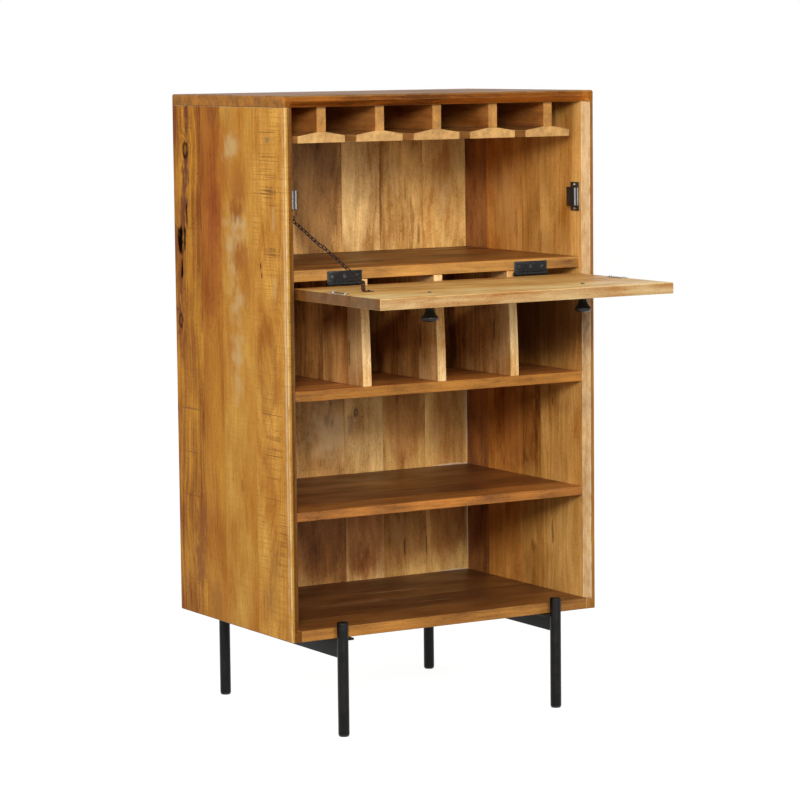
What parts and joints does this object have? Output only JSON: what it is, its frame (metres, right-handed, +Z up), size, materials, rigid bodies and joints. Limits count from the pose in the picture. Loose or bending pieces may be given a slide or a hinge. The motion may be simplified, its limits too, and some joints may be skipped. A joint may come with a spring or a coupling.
{
  "type": "bar cabinet with drop-down shelf",
  "caption": "Wooden bar cabinet on black rod legs: glass rails, a drop-down shelf on butt hinges with a stay chain, bottle bays and open shelves.",
  "frame": {"origin": "on the floor, under the middle of the overall box with the shelf folded out", "axes": "+X to the right as seen from the front, +Y from the front to the back, +Z up"},
  "size_m": [0.7, 0.7918, 1.23],
  "materials": {
    "case_wood": "clear-lacquered mango wood, glued staves",
    "back_wood": "clear-lacquered mango wood, glued staves",
    "shelf_wood": "clear-lacquered mango wood, dark staves",
    "rail_wood": "sawn and lacquered mango wood",
    "flap_wood": "clear-lacquered mango wood, glued staves",
    "tenon_wood": "raw hardwood",
    "leg_steel": "satin black powder coat",
    "glide_plastic": "moulded plastic",
    "hinge_steel": "satin black enamel",
    "black_screws": "blackened steel",
    "bright_screws": "zinc-plated steel",
    "knob_metal": "satin black",
    "catch_plastic": "moulded plastic",
    "zinc_plate": "zinc-plated steel",
    "strike_steel": "nickel-plated steel",
    "ferrite": "sintered ferrite",
    "chain_steel": "brown bronzed steel"
  },
  "bodies": {
    "cabinet": {"back_panel": "back_wood", "back_panel_screws": "black_screws", "bottle_divider_1": "rail_wood", "bottle_divider_2": "rail_wood", "bottle_divider_3": "rail_wood", "bottle_shelf": "shelf_wood", "bottom_panel": "shelf_wood", "carcass_tenons": "tenon_wood", "catch_housing_left": "catch_plastic", "catch_housing_right": "catch_plastic", "catch_magnet_left": "ferrite", "catch_magnet_right": "ferrite", "catch_pole_plates_left": "zinc_plate", "catch_pole_plates_right": "zinc_plate", "catch_screws": "bright_screws", "chain_eye": "chain_steel", "counter_shelf": "shelf_wood", "divider_tenons": "tenon_wood", "floor_glides": "glide_plastic", "hinge_fixed_leaf_left": "hinge_steel", "hinge_fixed_leaf_right": "hinge_steel", "hinge_fixed_screws": "black_screws", "hinge_pin_left": "hinge_steel", "hinge_pin_right": "hinge_steel", "left_side_panel": "case_wood", "leg_angle_left": "leg_steel", "leg_angle_right": "leg_steel", "leg_rod_back_left": "leg_steel", "leg_rod_back_right": "leg_steel", "leg_rod_front_left": "leg_steel", "leg_rod_front_right": "leg_steel", "leg_screws": "black_screws", "lower_shelf": "shelf_wood", "rail_flange_1": "rail_wood", "rail_flange_2": "rail_wood", "rail_flange_3": "rail_wood", "rail_flange_4": "rail_wood", "rail_flange_5": "rail_wood", "rail_stem_1": "rail_wood", "rail_stem_2": "rail_wood", "rail_stem_3": "rail_wood", "rail_stem_4": "rail_wood", "rail_stem_5": "rail_wood", "rail_tenons": "tenon_wood", "right_side_panel": "case_wood", "top_panel": "case_wood"},
    "flap": {"chain_anchor": "chain_steel", "chain_anchor_screw": "chain_steel", "drop_flap": "flap_wood", "hinge_moving_leaf_left": "hinge_steel", "hinge_moving_leaf_right": "hinge_steel", "hinge_moving_screws": "black_screws", "knob_bolts": "black_screws", "knob_left": "knob_metal", "knob_right": "knob_metal", "strike_plate_left": "strike_steel", "strike_plate_right": "strike_steel", "strike_screws": "bright_screws"},
    "chain_upper": {"chain_upper_links": "chain_steel"},
    "chain_lower": {"chain_lower_links": "chain_steel"}
  },
  "joints": [
    {"name": "flap_hinge", "type": "hinge", "parent": "cabinet", "child": "flap", "pos_m": [0, -0.0704, 0.8705], "axis": [-1, 0, 0], "range_deg": [0, 90]},
    {"name": "chain_eye_pivot", "type": "hinge", "parent": "cabinet", "child": "chain_upper", "pos_m": [-0.3227, -0.0696, 0.995], "axis": [1, 0, 0], "range_deg": [0, 62]},
    {"name": "chain_anchor_pivot", "type": "hinge", "parent": "flap", "child": "chain_lower", "pos_m": [-0.261, -0.2256, 0.882], "axis": [-1, 0, 0], "range_deg": [0, 37]}
  ],
  "couplings": [
    {"joint": "chain_eye_pivot", "follows": "flap_hinge", "ratio": 0.6808},
    {"joint": "chain_anchor_pivot", "follows": "flap_hinge", "ratio": 0.4018}
  ]
}
